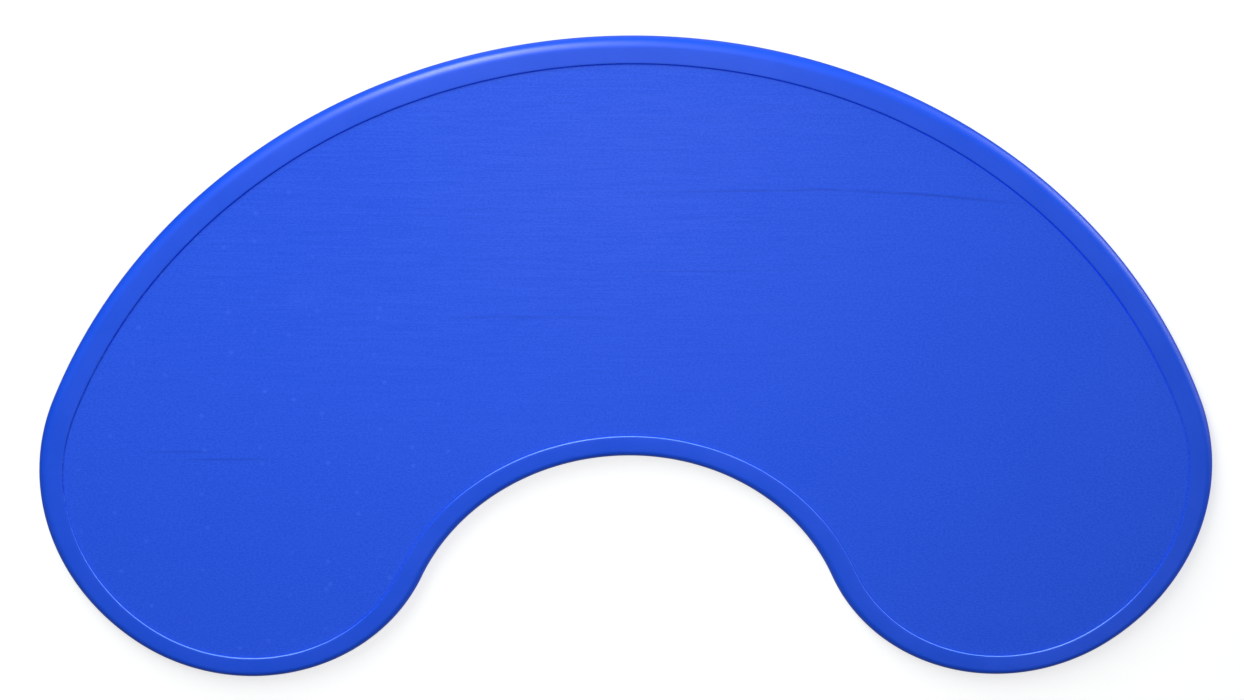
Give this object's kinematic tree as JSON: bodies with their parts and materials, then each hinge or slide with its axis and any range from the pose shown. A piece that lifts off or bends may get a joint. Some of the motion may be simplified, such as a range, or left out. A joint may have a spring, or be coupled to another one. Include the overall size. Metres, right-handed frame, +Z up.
{
  "type": "transfer board",
  "caption": "Kidney-shaped board with a long arched edge, rounded lobes and a notch, edged all round with a soft rounded profile, for sliding a person from one seat to another.",
  "frame": {"origin": "on the surface the board lies on, under the middle of its length and depth", "axes": "+X along the board's length, +Y from the notch towards the arched edge, +Z up through its thickness"},
  "size_m": [0.6998, 0.4099, 0.012],
  "materials": {
    "core_plywood": "raw birch plywood",
    "face_laminate": "blue laminate with a fine straight wood grain, satin",
    "edge_plastic": "smooth blue moulded edge, soft sheen"
  },
  "bodies": {
    "root": {"core_board": "core_plywood", "top_skin": "face_laminate", "bottom_skin": "face_laminate", "edge_profile": "edge_plastic"}
  },
  "joints": []
}
